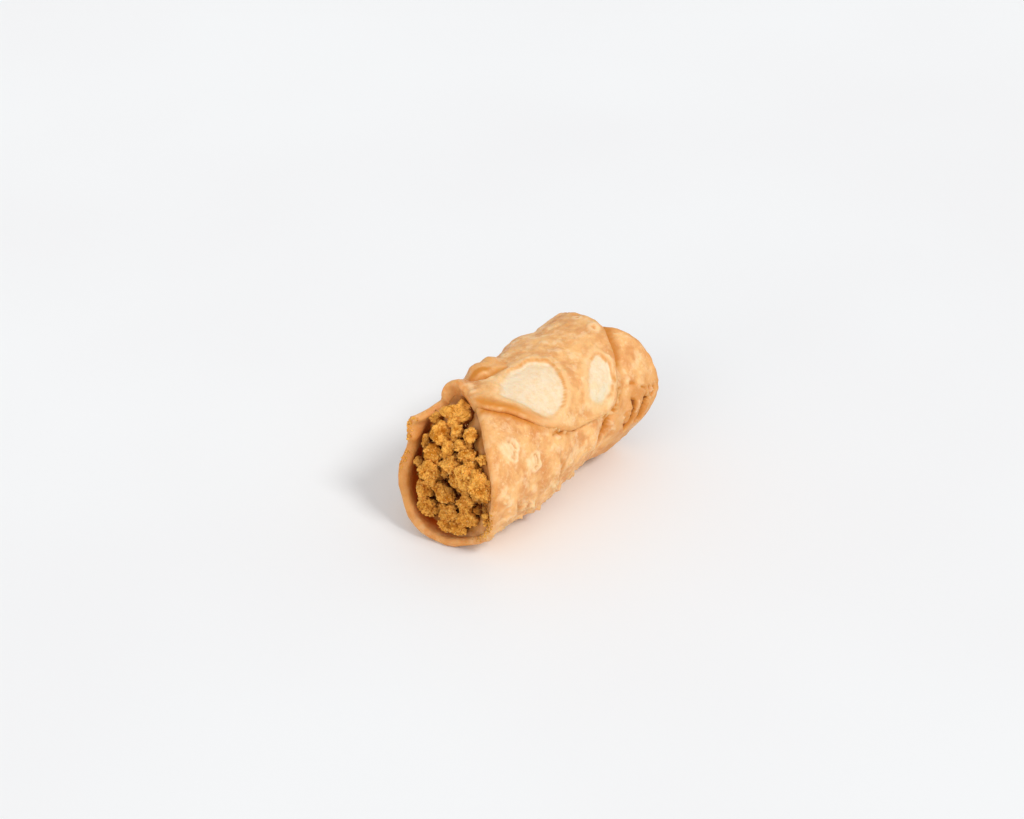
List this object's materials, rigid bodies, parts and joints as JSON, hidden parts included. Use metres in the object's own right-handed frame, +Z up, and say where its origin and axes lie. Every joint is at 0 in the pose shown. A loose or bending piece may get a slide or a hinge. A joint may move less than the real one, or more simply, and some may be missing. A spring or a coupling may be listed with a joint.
{
  "type": "cannolo pastry",
  "caption": "Fried dough tube with an overlapping flap, filled with caramel cream and finished at its open ends with biscuit crumbs.",
  "frame": {"origin": "middle of the footprint, on the surface that the pastry lies on", "axes": "+X along the tube, away from the end that shows most; the tip of the flap lies on the -Y side; +Z up"},
  "size_m": [0.0882, 0.0459, 0.0461],
  "materials": {
    "fried_dough": "blistered, slightly waxy golden brown crust with pale sunken patches",
    "caramel_cream": "smooth, soft sheen",
    "biscuit_crumb": "dry, grainy and matt"
  },
  "bodies": {
    "root": {"shell": "fried_dough", "filling": "caramel_cream", "crumbs_front": "biscuit_crumb", "crumbs_back": "biscuit_crumb"}
  },
  "joints": []
}
